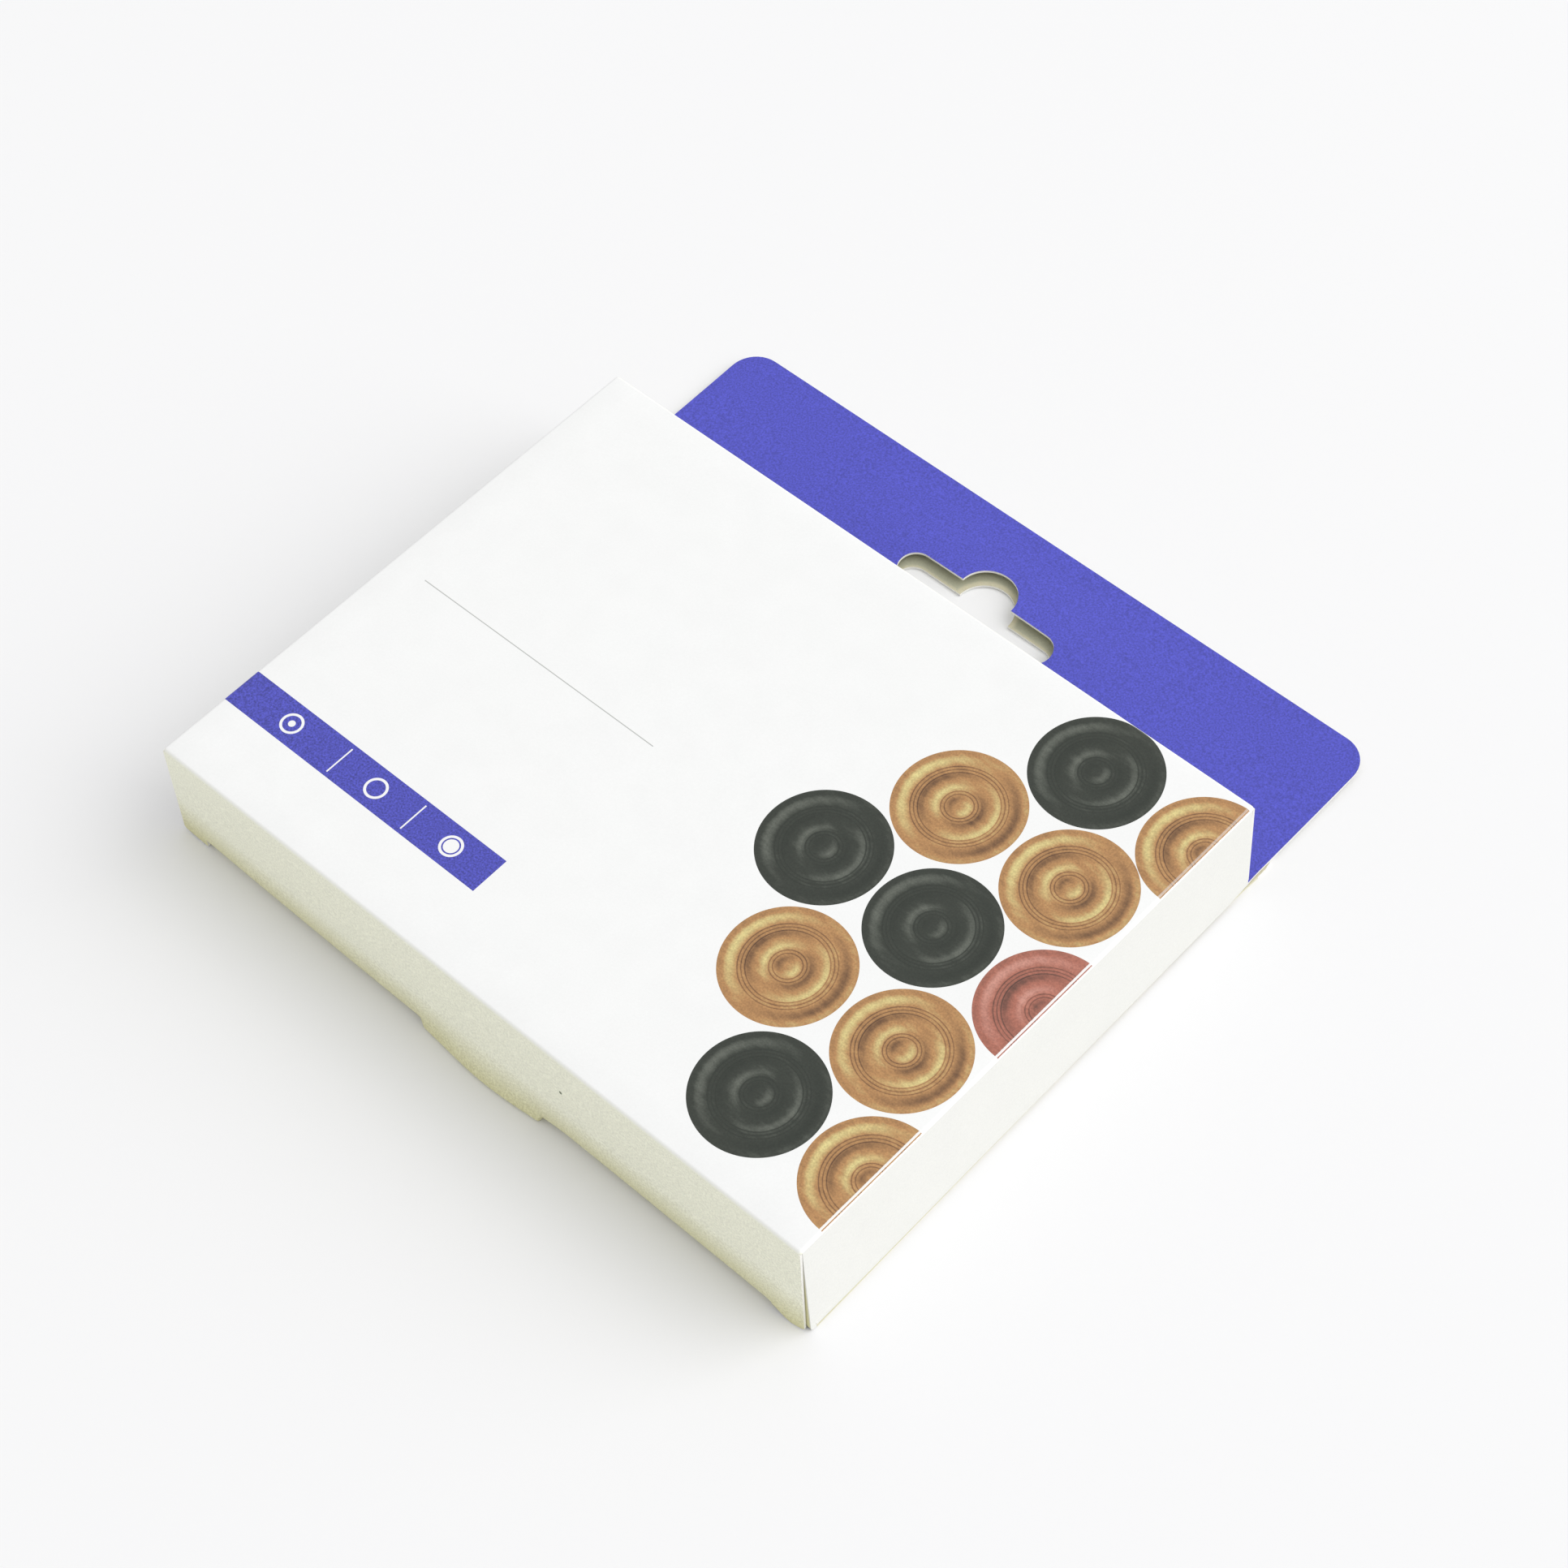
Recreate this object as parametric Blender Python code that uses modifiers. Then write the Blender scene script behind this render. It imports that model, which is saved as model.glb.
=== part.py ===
"""A boxed set of carrom coins: a tuck-end paperboard carton with a hang header, and its coins.

Metres, +Z up. The carton lies on its back with the header towards +Y, and the origin is the
middle of the carton's rear face. The carton is sized round the coins that it holds.
"""

import math

import bmesh
import bpy
from mathutils import Matrix, Vector

# Coins: turned wooden discs with a raised rim, a dished face and a boss in the middle
COIN_DIAMETER = 0.031
COIN_THICKNESS = 0.0088
COIN_RIM = 0.0036
COIN_EDGE = 0.0012
COIN_DISH = 0.0011
COIN_BOSS_RADIUS = 0.0030
COIN_BOSS_DROP = 0.0004
COIN_BOSS_SLOPE = 0.0010
COIN_SEGMENTS = 20

# How the coins are packed
COIN_COLUMNS = 4
COIN_ROWS = 3
COIN_LAYERS = 2
QUEEN_PLACE = (1, 1)
COIN_GAP = 0.0003
SIDE_ROOM = 0.0021
END_ROOM = 0.00085
TOP_ROOM = 0.0003

# Carton board, and the gaps between one board and the next
BOARD = 0.00045
GLUE_LINE = 0.0001
CREASE_GAP = 0.00015
FOLD_RADIUS = 0.0004
PLY_STEP = 0.0004

# Hang header and its slot
HEADER_HEIGHT = 0.0304
HEADER_CORNER = 0.005
SLOT_LIFT = 0.0092
SLOT_WIDTH = 0.031
SLOT_ARM_HEIGHT = 0.006
SLOT_HUMP_RADIUS = 0.005

# Tuck flaps
FLAP_GAP = 0.00045
LIP_ROOM = 0.0002
LIP_LENGTH = 0.014
LIP_INSET = 0.005
LIP_CORNER = 0.009
SHOULDER_LEVEL = 0.0003
SHOULDER_CUT = 0.0003
DUST_LENGTH = 0.018
DUST_TOP_ROOM = 0.0009
DUST_TOP_TAPER = math.radians(18)
DUST_FOOT_TAPER = math.radians(10)
DUST_CORNER = 0.002

# Foot of the back plies, their thumb notch, and the flap that swells out through it
FOOT_SETBACK = 0.0008
THUMB_WIDTH = 0.026
THUMB_SWELL = 0.0022
THUMB_FADE = 0.010
THUMB_FLOOR = 0.00015
NOTCH_MARGIN = 0.002
NOTCH_DEPTH = 0.0072

ARC_STEPS = 6
THUMB_COLUMNS = 12
CLOSURE_ROWS = 5

# Plan of the coins and of the carton round them
COIN_PITCH = COIN_DIAMETER + COIN_GAP
COINS_WIDTH = COIN_COLUMNS * COIN_PITCH - COIN_GAP
COINS_LENGTH = COIN_ROWS * COIN_PITCH - COIN_GAP
HALF_WIDTH = COINS_WIDTH / 2 + SIDE_ROOM + BOARD
HALF_HEIGHT = COINS_LENGTH / 2 + END_ROOM + BOARD + FLAP_GAP + BOARD
INSIDE_HALF = HALF_WIDTH - BOARD - CREASE_GAP
HEADER_TOP = HALF_HEIGHT + HEADER_HEIGHT
FOOT_LINE = -HALF_HEIGHT + FOOT_SETBACK
LIP_HALF = INSIDE_HALF - LIP_INSET

# Levels from the rear face to the front face
BACK_LOW = BOARD + GLUE_LINE
BACK_TOP = BACK_LOW + BOARD
LIP_LOW = BACK_TOP + LIP_ROOM
LIP_TOP = LIP_LOW + BOARD
COIN_FLOOR = LIP_TOP + LIP_ROOM
LAYER_PITCH = COIN_THICKNESS + COIN_GAP
FRONT_LOW = COIN_FLOOR + COIN_LAYERS * LAYER_PITCH - COIN_GAP + TOP_ROOM
FRONT_TOP = FRONT_LOW + BOARD
CREASE_LEVEL = FRONT_LOW - CREASE_GAP

# End planes of the side panels, where their dust flaps fold in
DUST_PLANE = HALF_HEIGHT - BOARD - FLAP_GAP


def clear_scene():
    for obj in list(bpy.data.objects):
        bpy.data.objects.remove(obj, do_unlink=True)


def finish(name, colour, roughness):
    material = bpy.data.materials.new(name)
    material.use_nodes = True
    shader = material.node_tree.nodes["Principled BSDF"]
    shader.inputs["Base Color"].default_value = (*colour, 1)
    shader.inputs["Roughness"].default_value = roughness
    material.diffuse_color = (*colour, 1)
    return material


def place(name, data, parent, location=(0, 0, 0), rotation=None):
    """A new object under its parent, turned by a 3 by 3 rotation and moved to a location."""
    obj = bpy.data.objects.new(name, data)
    bpy.data.collections["carrom_coin_set"].objects.link(obj)
    obj.parent = parent
    turn = rotation.to_4x4() if rotation else Matrix()
    obj.matrix_local = Matrix.Translation(location) @ turn
    return obj


def arc(centre, radius, start, end, steps=ARC_STEPS):
    """Points on an arc, with its angles in degrees and both ends included."""
    angles = [math.radians(start + (end - start) * i / steps) for i in range(steps + 1)]
    x, y = centre
    return [(x + radius * math.cos(a), y + radius * math.sin(a)) for a in angles]


def rounded(corners):
    """A closed outline through (x, y, radius) corners, each with its own arc."""
    points = []
    for i, (x, y, radius) in enumerate(corners):
        here = Vector((x, y))
        if not radius:
            points.append(here)
            continue
        behind = (Vector(corners[i - 1][:2]) - here).normalized()
        ahead = (Vector(corners[(i + 1) % len(corners)][:2]) - here).normalized()
        half = behind.angle(ahead) / 2
        centre = here + (behind + ahead).normalized() * radius / math.sin(half)
        reach = radius / math.tan(half)
        first = (here + behind * reach - centre).normalized()
        last = (here + ahead * reach - centre).normalized()
        turns = [first.slerp(last, k / ARC_STEPS) for k in range(ARC_STEPS + 1)]
        points += [centre + radius * turn for turn in turns]
    return points


def rectangle(left, low, right, high):
    return [(left, low), (right, low), (right, high), (left, high)]


def die_cut(name, outlines, material):
    """A flat board cut to outlines, the first its edge and the rest its holes."""
    curve = bpy.data.curves.new(name, "CURVE")
    curve.dimensions = "2D"
    curve.fill_mode = "BOTH"
    curve.extrude = BOARD / 2
    for outline in outlines:
        spline = curve.splines.new("POLY")
        spline.points.add(len(outline) - 1)
        for point, (x, y) in zip(spline.points, outline):
            point.co = (x, y, 0, 1)
        spline.use_cyclic_u = True
    curve.materials.append(material)
    return curve


def thumb_push(x):
    """How far the flap swells at this place across the carton, from 0 to 1 in its middle."""
    if abs(x) >= THUMB_WIDTH / 2:
        return 0.0
    return math.cos(math.pi * x / THUMB_WIDTH) ** 2


def thumb_places():
    """Places across the swelling, from its left end to its right end."""
    return [THUMB_WIDTH * (i / THUMB_COLUMNS - 0.5) for i in range(THUMB_COLUMNS + 1)]


def front_panel(carton, material):
    """The front, with the soft outer edge that its four creases have."""
    mesh = bpy.data.meshes.new("front_panel")
    bm = bmesh.new()
    bmesh.ops.create_cube(bm, size=1)
    bmesh.ops.scale(bm, vec=(2 * HALF_WIDTH, 2 * HALF_HEIGHT, BOARD), verts=bm.verts)
    outer = [edge for edge in bm.edges if all(vert.co.z > 0 for vert in edge.verts)]
    soft = min(FOLD_RADIUS, 0.9 * BOARD)
    bmesh.ops.bevel(bm, geom=outer, offset=soft, segments=3, profile=0.5, affect="EDGES")
    bm.to_mesh(mesh)
    bm.free()
    mesh.materials.append(material)
    place("front_panel", mesh, carton, (0, 0, FRONT_LOW + BOARD / 2))


def side_panels(carton, material):
    """The two sides. The left one stands on the rear ply it folds from, the right on the back."""
    upright = Matrix(((0, 0, 1), (1, 0, 0), (0, 1, 0)))
    sides = (("left_side_panel", -1, BOARD), ("right_side_panel", 1, BACK_TOP))
    for name, side, foot in sides:
        outline = rectangle(-DUST_PLANE, foot + CREASE_GAP, DUST_PLANE, CREASE_LEVEL)
        board = die_cut(name, [outline], material)
        place(name, board, carton, (side * (HALF_WIDTH - BOARD / 2), 0, 0), upright)


def thumb_notch():
    """The arc cut into the lower edge of both back plies, from left to right."""
    half = THUMB_WIDTH / 2 + NOTCH_MARGIN
    radius = (half**2 + NOTCH_DEPTH**2) / (2 * NOTCH_DEPTH)
    spread = math.degrees(math.asin(half / radius))
    centre = (0, FOOT_LINE + NOTCH_DEPTH - radius)
    return [(x, y, 0) for x, y in arc(centre, radius, 90 + spread, 90 - spread, 2 * ARC_STEPS)]


def hang_slot():
    """The wide slot with a round hump in its middle that hangs on a shop peg."""
    end = SLOT_ARM_HEIGHT / 2
    reach = SLOT_WIDTH / 2 - end
    level = HALF_HEIGHT + SLOT_LIFT + end
    return (
        arc((reach, level), end, -90, 90)
        + arc((0, level + end), SLOT_HUMP_RADIUS, 0, 180, 2 * ARC_STEPS)
        + arc((-reach, level), end, 90, 270)
    )


def back_plies(carton, blue, white):
    """The two back boards, glued face to face, which run on past the carton as its header."""
    inner = [
        (-INSIDE_HALF, FOOT_LINE, 0),
        *thumb_notch(),
        (HALF_WIDTH, FOOT_LINE, 0),
        (HALF_WIDTH, HEADER_TOP, HEADER_CORNER),
        (-HALF_WIDTH, HEADER_TOP, HEADER_CORNER),
        (-HALF_WIDTH, HALF_HEIGHT, 0),
        (-INSIDE_HALF, HALF_HEIGHT, 0),
    ]
    free_edge = HALF_WIDTH - PLY_STEP
    outer = [
        (-HALF_WIDTH, FOOT_LINE, 0),
        *thumb_notch(),
        (free_edge, FOOT_LINE, 0),
        (free_edge, HEADER_TOP, HEADER_CORNER),
        (-HALF_WIDTH, HEADER_TOP, HEADER_CORNER),
    ]
    board = die_cut("back_panel", [rounded(inner), hang_slot()], blue)
    place("back_panel", board, carton, (0, 0, BACK_LOW + BOARD / 2))
    board = die_cut("rear_panel", [rounded(outer), hang_slot()], white)
    place("rear_panel", board, carton, (0, 0, BOARD / 2))


def closure(name, crease, swell, floor, shoulder, material):
    """A tuck flap's panel, in its crease's own frame: -Y is out of the carton.

    Its outer face is a grid that swells by this much at the thumb notch, down to a floor
    level. Its corners hang beside the lip, down to the shoulders' level, and Solidify gives
    it the board's thickness.
    """
    cut = LIP_HALF + SHOULDER_CUT
    places = [-HALF_WIDTH, -cut, -LIP_HALF, *thumb_places(), LIP_HALF, cut, HALF_WIDTH]
    bm = bmesh.new()
    bmesh.ops.create_grid(bm, x_segments=len(places) - 1, y_segments=CLOSURE_ROWS, size=1)
    for vert in bm.verts:
        x = places[round((vert.co.x + 1) / 2 * (len(places) - 1))]
        foot = shoulder if abs(x) > LIP_HALF else LIP_LOW + (floor - LIP_LOW) * thumb_push(x)
        share = ((vert.co.y + 1) / 2) ** 2
        level = foot + (CREASE_LEVEL - foot) * share
        height = min(max(level - LIP_TOP, 0) / THUMB_FADE, 1)
        out = swell * thumb_push(x) * math.cos(math.pi / 2 * height) ** 2
        vert.co = (x, -out, level - CREASE_LEVEL)
    mesh = bpy.data.meshes.new(name)
    bm.to_mesh(mesh)
    bm.free()
    mesh.materials.append(material)
    wall = place(name, mesh, crease).modifiers.new("board", "SOLIDIFY")
    wall.thickness = BOARD
    wall.offset = -1


def tuck_lip(name, crease, swell, material):
    """The lip that slides in over the back, in its crease's own frame: +Y is inwards."""
    outline = [(-LIP_HALF, 0, 0)]
    outline += [(x, -swell * thumb_push(x), 0) for x in thumb_places()]
    outline += [(LIP_HALF, 0, 0), (LIP_HALF, LIP_LENGTH, LIP_CORNER), (-LIP_HALF, LIP_LENGTH, LIP_CORNER)]
    board = die_cut(name, [rounded(outline)], material)
    place(name, board, crease, (0, 0, BOARD / 2))


def dust_flap(name, crease, side, material):
    """A side's tapered flap, folded in behind the tuck flap, in its crease's own frame."""
    foot, head = COIN_FLOOR, FRONT_LOW - DUST_TOP_ROOM
    tip_foot = foot + DUST_LENGTH * math.tan(DUST_FOOT_TAPER)
    tip_head = head - DUST_LENGTH * math.tan(DUST_TOP_TAPER)
    outline = [
        (0, foot, 0),
        (DUST_LENGTH, tip_foot, DUST_CORNER),
        (DUST_LENGTH, tip_head, DUST_CORNER),
        (0, head, 0),
    ]
    inward = Matrix(((-side, 0, 0), (0, 0, side), (0, 1, 0)))
    place(name, die_cut(name, [rounded(outline)], material), crease, (0, BOARD / 2, 0), inward)


def tuck_end(end, carton, turn, swell, floor, shoulder, material):
    """One end's four flaps, each on an empty that lies on its crease."""
    frame = place(f"{end}_end", None, carton, rotation=Matrix.Rotation(turn, 3, "Z"))
    crease = place(f"{end}_closure_crease", None, frame, (0, -HALF_HEIGHT, CREASE_LEVEL))
    closure(f"{end}_closure", crease, swell, floor, shoulder, material)
    fold = (0, BOARD + CREASE_GAP, LIP_LOW - CREASE_LEVEL)
    tuck_lip(f"{end}_lip", place(f"{end}_lip_crease", None, crease, fold), swell, material)
    for side in (-1, 1):
        hand = "right" if side * math.cos(turn) > 0 else "left"
        hinge = (side * INSIDE_HALF, -DUST_PLANE, 0)
        fold = place(f"{end}_{hand}_dust_crease", None, frame, hinge)
        dust_flap(f"{end}_{hand}_dust_flap", fold, side, material)


def coin_profile(name, material):
    """Half a coin's outline, from the middle of its upper face round to the middle below."""
    radius = COIN_DIAMETER / 2
    boss_foot = COIN_BOSS_RADIUS + COIN_BOSS_SLOPE
    face = [
        (0, COIN_BOSS_DROP),
        (COIN_BOSS_RADIUS, COIN_BOSS_DROP),
        (boss_foot, COIN_DISH),
        (radius - COIN_RIM, 0),
        (radius - COIN_EDGE, 0),
        (radius, COIN_EDGE),
    ]
    upper = [(x, 0, COIN_THICKNESS / 2 - drop) for x, drop in face]
    points = upper + [(x, 0, -z) for x, _, z in reversed(upper)]
    mesh = bpy.data.meshes.new(name)
    mesh.from_pydata(points, [(i, i + 1) for i in range(len(points) - 1)], [])
    mesh.materials.append(material)
    return mesh


def turned_coin(name, profile, pack, location):
    screw = place(name, profile, pack, location).modifiers.new("turning", "SCREW")
    screw.steps = screw.render_steps = COIN_SEGMENTS
    screw.use_merge_vertices = True
    screw.merge_threshold = 0.00001


def coin_pack(carton, finishes):
    """The coins in layers of rows, black and white by turns, with a queen in each layer."""
    pack = place("coin_pack", None, carton)
    profiles = {kind: coin_profile(kind, finishes[kind]) for kind in finishes}
    made = dict.fromkeys(finishes, 0)
    for layer in range(COIN_LAYERS):
        level = COIN_FLOOR + layer * LAYER_PITCH + COIN_THICKNESS / 2
        for row in range(COIN_ROWS):
            for column in range(COIN_COLUMNS):
                kind = "black_coin" if (layer + row + column) % 2 else "white_coin"
                if (row, column) == QUEEN_PLACE:
                    kind = "queen_coin"
                made[kind] += 1
                x = (column - (COIN_COLUMNS - 1) / 2) * COIN_PITCH
                y = (row - (COIN_ROWS - 1) / 2) * COIN_PITCH
                turned_coin(f"{kind}_{made[kind]:02d}", profiles[kind], pack, (x, y, level))


clear_scene()
bpy.context.scene.collection.children.link(bpy.data.collections.new("carrom_coin_set"))
white_board = finish("white_board", (0.86, 0.86, 0.83), 0.55)
blue_board = finish("blue_board", (0.09, 0.08, 0.50), 0.5)
coin_finishes = {
    "black_coin": finish("black_lacquered_wood", (0.02, 0.022, 0.021), 0.4),
    "white_coin": finish("natural_lacquered_wood", (0.48, 0.25, 0.08), 0.4),
    "queen_coin": finish("red_lacquered_wood", (0.40, 0.05, 0.045), 0.4),
}
carton = place("carton", None, None)
front_panel(carton, white_board)
side_panels(carton, white_board)
back_plies(carton, blue_board, white_board)
tuck_end("bottom", carton, 0, THUMB_SWELL, THUMB_FLOOR, SHOULDER_LEVEL, white_board)
tuck_end("top", carton, math.pi, 0, LIP_LOW, LIP_LOW, white_board)
coin_pack(carton, coin_finishes)
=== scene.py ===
"""The looks of a boxed carrom coin set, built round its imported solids. Metres, +Z up."""

import math

import bmesh
import bpy
from mathutils import Matrix, Vector


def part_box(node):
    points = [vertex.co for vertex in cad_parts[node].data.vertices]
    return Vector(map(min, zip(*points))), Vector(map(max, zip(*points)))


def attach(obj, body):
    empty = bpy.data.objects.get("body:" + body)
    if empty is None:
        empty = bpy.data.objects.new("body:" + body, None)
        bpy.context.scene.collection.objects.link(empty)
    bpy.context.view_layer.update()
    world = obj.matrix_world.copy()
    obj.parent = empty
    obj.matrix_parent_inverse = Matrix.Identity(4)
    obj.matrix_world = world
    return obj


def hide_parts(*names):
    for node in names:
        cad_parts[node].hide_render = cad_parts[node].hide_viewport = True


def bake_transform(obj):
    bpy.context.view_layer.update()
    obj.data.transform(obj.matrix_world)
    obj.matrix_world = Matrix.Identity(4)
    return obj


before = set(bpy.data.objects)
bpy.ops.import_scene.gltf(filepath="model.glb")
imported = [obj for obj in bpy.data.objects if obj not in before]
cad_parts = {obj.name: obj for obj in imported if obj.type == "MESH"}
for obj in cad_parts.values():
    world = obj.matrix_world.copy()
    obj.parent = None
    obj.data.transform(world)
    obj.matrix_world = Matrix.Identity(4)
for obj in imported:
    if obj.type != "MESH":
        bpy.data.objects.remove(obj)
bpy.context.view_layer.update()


# Front board. The carton is die-cut from one sheet of white coated board, and the front is its
# printed middle. All four edges are creases, so the board rolls over into the sides and flaps.

front_low, front_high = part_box("front_panel")
crease_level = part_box("right_side_panel")[1].z
HALF_WIDTH, HALF_HEIGHT, FRONT_TOP = front_high
BOARD = front_high.z - front_low.z
HAIRLINE = 0.00002
FOLD_ROUND = 0.00055
FRONT_CROWN = 0.00025
FRONT_COLUMNS, FRONT_ROWS = 26, 20
ROUND_STEPS = 5
SMOOTH_ANGLE = math.radians(35)


def begin(name, add, scale=(1, 1, 1), **options):
    """Adds a primitive at its size and place, with nothing else selected, and opens it for editing."""
    bpy.ops.object.select_all(action="DESELECT")
    add(**options)
    piece = bpy.context.object
    piece.name = piece.data.name = name
    piece.scale = scale
    bpy.ops.object.transform_apply(location=True, rotation=True, scale=True)
    bpy.ops.object.mode_set(mode="EDIT")
    return piece


def pick(piece, kind, test):
    """Selects only those verts, edges or faces of the open piece that pass a test."""
    bpy.ops.mesh.select_mode(type={"verts": "VERT", "edges": "EDGE", "faces": "FACE"}[kind])
    bpy.ops.mesh.select_all(action="DESELECT")
    cage = bmesh.from_edit_mesh(piece.data)
    for element in getattr(cage, kind):
        if test(element):
            element.select_set(True)
    bmesh.update_edit_mesh(piece.data)


def middle(edge):
    return (edge.verts[0].co + edge.verts[1].co) / 2


def between(low, high, count):
    """Even places that part a length into this many stretches."""
    return [low + (high - low) * i / count for i in range(1, count)]


def cut_across(axis, places):
    """Cuts the open piece right across at each place along an axis."""
    for place in places:
        bpy.ops.mesh.select_all(action="SELECT")
        bpy.ops.mesh.bisect(plane_co=axis * place, plane_no=axis)


def thicken(piece, coat):
    """Gives a sheet its board inwards: coated outside, white along its cuts and raw inside."""
    bpy.ops.object.mode_set(mode="OBJECT")
    for finish in (coat, cut_board, raw_board):
        piece.data.materials.append(finish)
    board = piece.modifiers.new("board", "SOLIDIFY")
    board.thickness = BOARD
    board.offset = -1
    board.material_offset_rim, board.material_offset = 1, 2
    bpy.ops.object.modifier_apply(modifier=board.name)


def wire(tree, kind, *inputs, **named):
    """Adds a node. Capital names are its sockets and small names its settings."""
    node = tree.nodes.new("ShaderNode" + kind)
    for key, value in named.items():
        if key[0].islower():
            setattr(node, key, value)
    sockets = list(zip(node.inputs, inputs))
    sockets += [(node.inputs[key.replace("_", " ")], named[key]) for key in named if key[0].isupper()]
    for socket, value in sockets:
        if isinstance(value, bpy.types.NodeSocket):
            tree.links.new(value, socket)
        else:
            socket.default_value = value
    return next(output for output in node.outputs if output.enabled)


def ramp(tree, value, stops):
    """A colour ramp through (place, colour) stops, given in order."""
    shade = wire(tree, "ValToRGB", value)
    points = shade.node.color_ramp.elements
    for point, (place, colour) in zip((points[0], points[1]), (stops[0], stops[-1])):
        point.position, point.color = place, colour
    for place, colour in stops[1:-1]:
        points.new(place).color = colour
    return shade


def ink(red, green, blue):
    """A linear colour from its look on screen, 0 to 255."""
    looks = [value / 255 for value in (red, green, blue)]
    return (*(((v + 0.055) / 1.055) ** 2.4 if v > 0.04 else v / 12.92 for v in looks), 1)


def grey(value):
    return (value, value, value, 1)


# Noise keeps mostly between these two values
NOISE_LOW, NOISE_HIGH = 0.3, 0.7
CLOUD_SCALE, CLOUD_DIM, CLOUD_CLEAR = 180, 0.985, 0.65
FIBRE_SCALE, FIBRE_BUMP, FIBRE_HEIGHT = 3200, 0.12, 0.00006
BOARD_ROUGH_LOW, BOARD_ROUGH_HIGH = 0.46, 0.56


def mottled(tree, colour, fibre, dark, light):
    """The colour, darkened and lightened along the board's fibres."""
    tone = ramp(tree, fibre, [(NOISE_LOW, grey(dark)), (NOISE_HIGH, grey(light))])
    return wire(tree, "MixRGB", 1.0, colour, tone, blend_type="MULTIPLY")


def board_finish(name, white, fleck, paint=None):
    """Carton board: nearly plain, with faint clouds, flecks of fibre this dark, and any print, dirt or
    painted shade.
    """
    material = bpy.data.materials.new(name)
    material.use_nodes = True
    tree = material.node_tree
    spot = wire(tree, "TexCoord").node.outputs["Object"]
    cloud = wire(tree, "TexNoise", Vector=spot, Scale=CLOUD_SCALE, Detail=3)
    fibre = wire(tree, "TexNoise", Vector=spot, Scale=FIBRE_SCALE, Detail=2)
    dimmer = tuple(CLOUD_DIM * value for value in white[:3]) + (1,)
    colour = ramp(tree, cloud, [(NOISE_LOW, dimmer), (CLOUD_CLEAR, white)])
    if paint:
        colour = paint(tree, spot, colour, fibre)
    colour = mottled(tree, colour, fibre, fleck, 1.0)
    shader = tree.nodes["Principled BSDF"]
    rough = wire(tree, "MapRange", cloud, NOISE_LOW, NOISE_HIGH, BOARD_ROUGH_LOW, BOARD_ROUGH_HIGH)
    bump = wire(tree, "Bump", Strength=FIBRE_BUMP, Distance=FIBRE_HEIGHT, Height=fibre)
    for socket, value in (("Base Color", colour), ("Roughness", rough), ("Normal", bump)):
        tree.links.new(value, shader.inputs[socket])
    return material


# What is printed on the front: a blue band with three cells, a thin rule, and turned discs in loose
# rows from the header end down, each row from the right fold inwards (n natural, b black, r red).
BAND_BLUE = ink(72, 74, 175)
BAND_MOTTLE = (0.62, 1.44)
BAND_END, BAND_LOW, BAND_HIGH = -0.0110, -0.0365, -0.0296
CELL_RULES = (-0.0430, -0.0271)
CELL_MIDDLES = (-0.0535, -0.0351, -0.0191)
CELL_LINE, CELL_RULE_HALF = 0.00013, 0.00269
ICON_RADIUS, ICON_LINE = 0.0017, 0.00022
ICON_DOT_SHARES = (0.35, 0.0, 0.72)
RULE_LEVEL, RULE_LEFT, RULE_RIGHT, RULE_LINE = -0.0007, -0.0581, -0.0091, 0.00009
RULE_GREY = ink(186, 188, 186)
DISC_RADIUS = 0.01023
DISCS = (
    ("n", 0.0650, 0.0377), ("b", 0.0437, 0.0386),
    ("n", 0.0539, 0.0204), ("n", 0.0325, 0.0208),
    ("r", 0.0647, 0.0022), ("b", 0.0436, 0.0024), ("b", 0.0224, 0.0025),
    ("n", 0.0540, -0.0159), ("n", 0.0324, -0.0161),
    ("n", 0.0647, -0.0342), ("b", 0.0437, -0.0342),
)
DISC_LIGHT = 0.40
DISC_INKS = {
    "n": (ink(94, 64, 42), ink(177, 132, 85), ink(218, 206, 142)),
    "b": (ink(36, 42, 35), ink(47, 52, 45), ink(98, 102, 94)),
    "r": (ink(84, 58, 50), ink(168, 104, 87), ink(204, 148, 134)),
}
# Slope of the turned face from a disc's middle to its edge, with 0.5 as level
DISC_SLOPES = (
    (0.0, 0.5), (0.06, 0.6), (0.105, 0.85), (0.14, 0.97), (0.175, 0.76), (0.205, 0.55), (0.27, 0.45),
    (0.30, 0.25), (0.33, 0.0), (0.365, 0.1), (0.41, 0.38), (0.45, 0.5), (0.49, 0.64), (0.535, 0.95),
    (0.57, 0.97), (0.605, 0.72), (0.64, 0.55), (0.71, 0.58), (0.75, 0.33), (0.80, 0.06), (0.84, 0.0),
    (0.875, 0.18), (0.91, 0.48), (0.95, 0.62), (1.0, 0.55),
)
# Fine lathe lines round the boss and round the dish: where they run, how close and how dark
DISC_LINED = (
    (0.0, 0.0), (0.17, 0.0), (0.20, 1.0), (0.29, 1.0), (0.33, 0.0), (0.57, 0.0), (0.60, 1.0),
    (0.71, 1.0), (0.75, 0.0), (1.0, 0.0),
)
DISC_LINE_PITCH, DISC_LINE_SHIFT, DISC_LINE_DEPTH = 0.055, 2.2, 0.34
DISC_GRAIN_TURN, DISC_GRAIN_STRETCH, DISC_GRAIN_SCALE, DISC_GRAIN_DEPTH = 0.5, 3.5, 260, 0.5
DISC_MOTTLE = (0.86, 1.17)
WORN_FROM, WORN_TO, PRINT_END, WORN_RAGGED = -0.00058, -0.00017, 0.00010, 0.0001
WORN_FULL, WORN_FAINT, WORN_MOST, WORN_LEAST = 0.014, 0.030, 0.92, 0.3


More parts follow.
